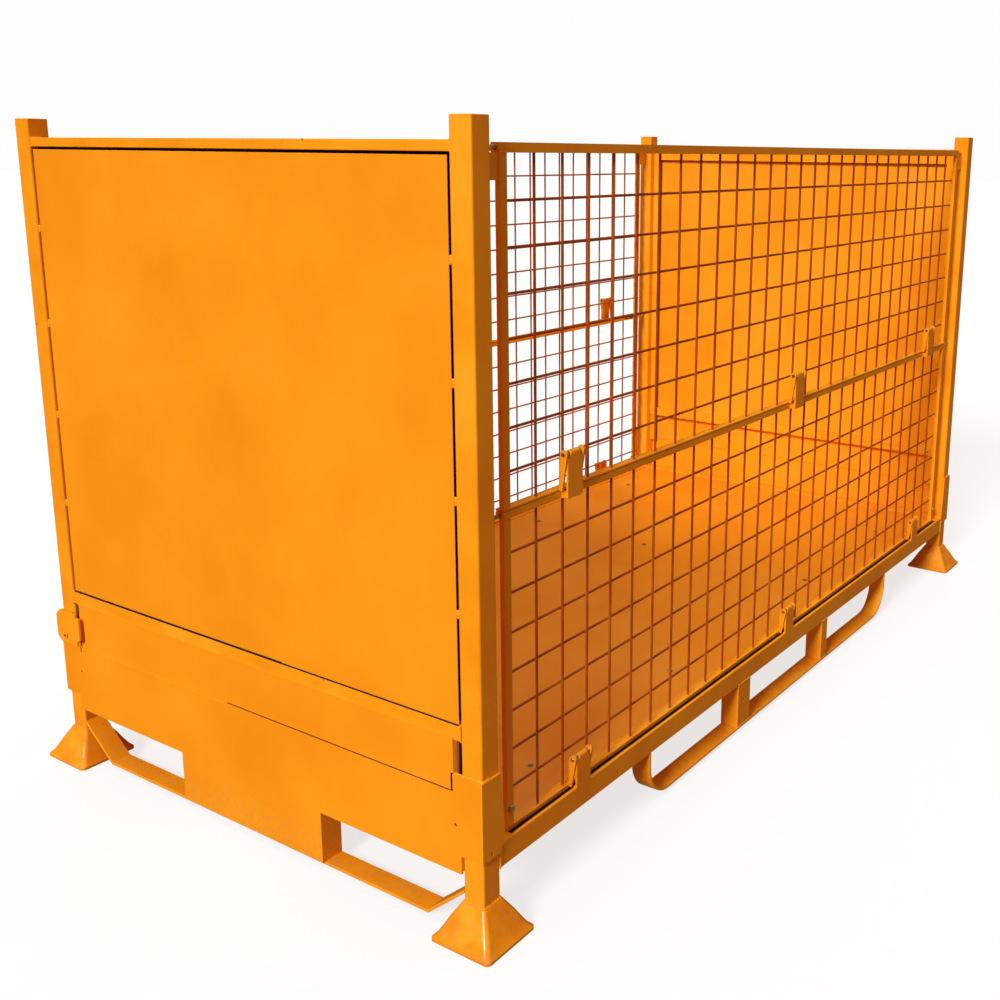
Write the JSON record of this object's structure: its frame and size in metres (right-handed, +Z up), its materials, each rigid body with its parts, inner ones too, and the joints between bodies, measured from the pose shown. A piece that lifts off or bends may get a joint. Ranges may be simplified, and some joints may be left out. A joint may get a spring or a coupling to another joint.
{
  "type": "stackable mesh container",
  "caption": "Stackable steel pallet container with sheet steel ends and floor, folding wire mesh gates along both long sides, fork pockets and stacking feet.",
  "frame": {"origin": "middle of the footprint at the underside of the feet", "axes": "+X along the length, +Y across to the back long side, +Z up"},
  "size_m": [2.488, 1.288, 1.4],
  "materials": {
    "frame_enamel": "gloss orange enamel on steel tube and flat bar",
    "sheet_enamel": "gloss orange enamel on sheet steel",
    "foot_enamel": "gloss orange enamel on pressed steel, worn at the rim",
    "wire_enamel": "orange enamel on welded wire",
    "weld_enamel": "orange enamel over weld beads",
    "zinc": "bright zinc plate"
  },
  "bodies": {
    "base": {"foot_front_left": "foot_enamel", "foot_front_right": "foot_enamel", "foot_back_left": "foot_enamel", "foot_back_right": "foot_enamel", "post_front_left": "frame_enamel", "post_front_right": "frame_enamel", "post_back_left": "frame_enamel", "post_back_right": "frame_enamel", "post_caps": "frame_enamel", "base_rail_front": "frame_enamel", "base_rail_back": "frame_enamel", "base_rail_left": "frame_enamel", "base_rail_right": "frame_enamel", "floor_plate": "sheet_enamel", "floor_bearers": "frame_enamel", "side_runner_front": "frame_enamel", "side_runner_back": "frame_enamel", "side_uprights": "frame_enamel", "end_runners": "frame_enamel", "end_skirt_left": "sheet_enamel", "end_skirt_right": "sheet_enamel", "corner_wraps": "frame_enamel", "end_top_rail_left": "frame_enamel", "end_mid_rail_left": "frame_enamel", "end_panel_left": "sheet_enamel", "end_lower_panel_left": "sheet_enamel", "end_top_rail_right": "frame_enamel", "end_mid_rail_right": "frame_enamel", "end_panel_right": "sheet_enamel", "end_lower_panel_right": "sheet_enamel", "panel_tack_welds": "weld_enamel", "end_backings": "frame_enamel", "rail_tabs_front": "frame_enamel", "rail_tabs_back": "frame_enamel", "rail_tab_pins": "zinc", "lock_brackets": "frame_enamel", "lock_pivots": "frame_enamel"},
    "lock_lever_left": {"lock_lever_left": "frame_enamel"},
    "lock_lever_right": {"lock_lever_right": "frame_enamel"},
    "lower_gate_front": {"lower_gate_frame_front": "frame_enamel", "lower_gate_mesh_front": "wire_enamel", "gate_tabs_front": "frame_enamel", "gate_pins_front": "zinc"},
    "upper_gate_front": {"upper_gate_frame_front": "frame_enamel", "upper_gate_mesh_front": "wire_enamel"},
    "upper_bolt_front_left": {"upper_bolt_front_left": "zinc"},
    "upper_bolt_front_right": {"upper_bolt_front_right": "zinc"},
    "lower_bolt_front_left": {"lower_bolt_front_left": "zinc"},
    "lower_bolt_front_right": {"lower_bolt_front_right": "zinc"},
    "lower_gate_back": {"lower_gate_frame_back": "frame_enamel", "lower_gate_mesh_back": "wire_enamel", "gate_tabs_back": "frame_enamel", "gate_pins_back": "zinc"},
    "upper_gate_back": {"upper_gate_frame_back": "frame_enamel", "upper_gate_mesh_back": "wire_enamel"},
    "upper_bolt_back_left": {"upper_bolt_back_left": "zinc"},
    "upper_bolt_back_right": {"upper_bolt_back_right": "zinc"},
    "lower_bolt_back_left": {"lower_bolt_back_left": "zinc"},
    "lower_bolt_back_right": {"lower_bolt_back_right": "zinc"}
  },
  "joints": [
    {"name": "lock_turn_left", "type": "hinge", "parent": "base", "child": "lock_lever_left", "pos_m": [-1.213, 0.57, 0.2995], "axis": [-1, 0, 0], "range_deg": [0, 100]},
    {"name": "lock_turn_right", "type": "hinge", "parent": "base", "child": "lock_lever_right", "pos_m": [1.213, 0.57, 0.2995], "axis": [-1, 0, 0], "range_deg": [0, 100]},
    {"name": "lower_gate_hinge_front", "type": "hinge", "parent": "base", "child": "lower_gate_front", "pos_m": [0, -0.594, 0.23], "axis": [1, 0, 0], "range_deg": [0, 100]},
    {"name": "upper_gate_hinge_front", "type": "hinge", "parent": "lower_gate_front", "child": "upper_gate_front", "pos_m": [0, -0.594, 0.829], "axis": [1, 0, 0], "range_deg": [0, 180]},
    {"name": "upper_bolt_slide_front_left", "type": "slide", "parent": "upper_gate_front", "child": "upper_bolt_front_left", "axis": [1, 0, 0], "range_m": [0, 0.025]},
    {"name": "upper_bolt_slide_front_right", "type": "slide", "parent": "upper_gate_front", "child": "upper_bolt_front_right", "axis": [-1, 0, 0], "range_m": [0, 0.025]},
    {"name": "lower_bolt_slide_front_left", "type": "slide", "parent": "lower_gate_front", "child": "lower_bolt_front_left", "axis": [1, 0, 0], "range_m": [0, 0.025]},
    {"name": "lower_bolt_slide_front_right", "type": "slide", "parent": "lower_gate_front", "child": "lower_bolt_front_right", "axis": [-1, 0, 0], "range_m": [0, 0.025]},
    {"name": "lower_gate_hinge_back", "type": "hinge", "parent": "base", "child": "lower_gate_back", "pos_m": [0, 0.594, 0.23], "axis": [-1, 0, 0], "range_deg": [0, 100]},
    {"name": "upper_gate_hinge_back", "type": "hinge", "parent": "lower_gate_back", "child": "upper_gate_back", "pos_m": [0, 0.594, 0.829], "axis": [-1, 0, 0], "range_deg": [0, 180]},
    {"name": "upper_bolt_slide_back_left", "type": "slide", "parent": "upper_gate_back", "child": "upper_bolt_back_left", "axis": [1, 0, 0], "range_m": [0, 0.025]},
    {"name": "upper_bolt_slide_back_right", "type": "slide", "parent": "upper_gate_back", "child": "upper_bolt_back_right", "axis": [-1, 0, 0], "range_m": [0, 0.025]},
    {"name": "lower_bolt_slide_back_left", "type": "slide", "parent": "lower_gate_back", "child": "lower_bolt_back_left", "axis": [1, 0, 0], "range_m": [0, 0.025]},
    {"name": "lower_bolt_slide_back_right", "type": "slide", "parent": "lower_gate_back", "child": "lower_bolt_back_right", "axis": [-1, 0, 0], "range_m": [0, 0.025]}
  ]
}
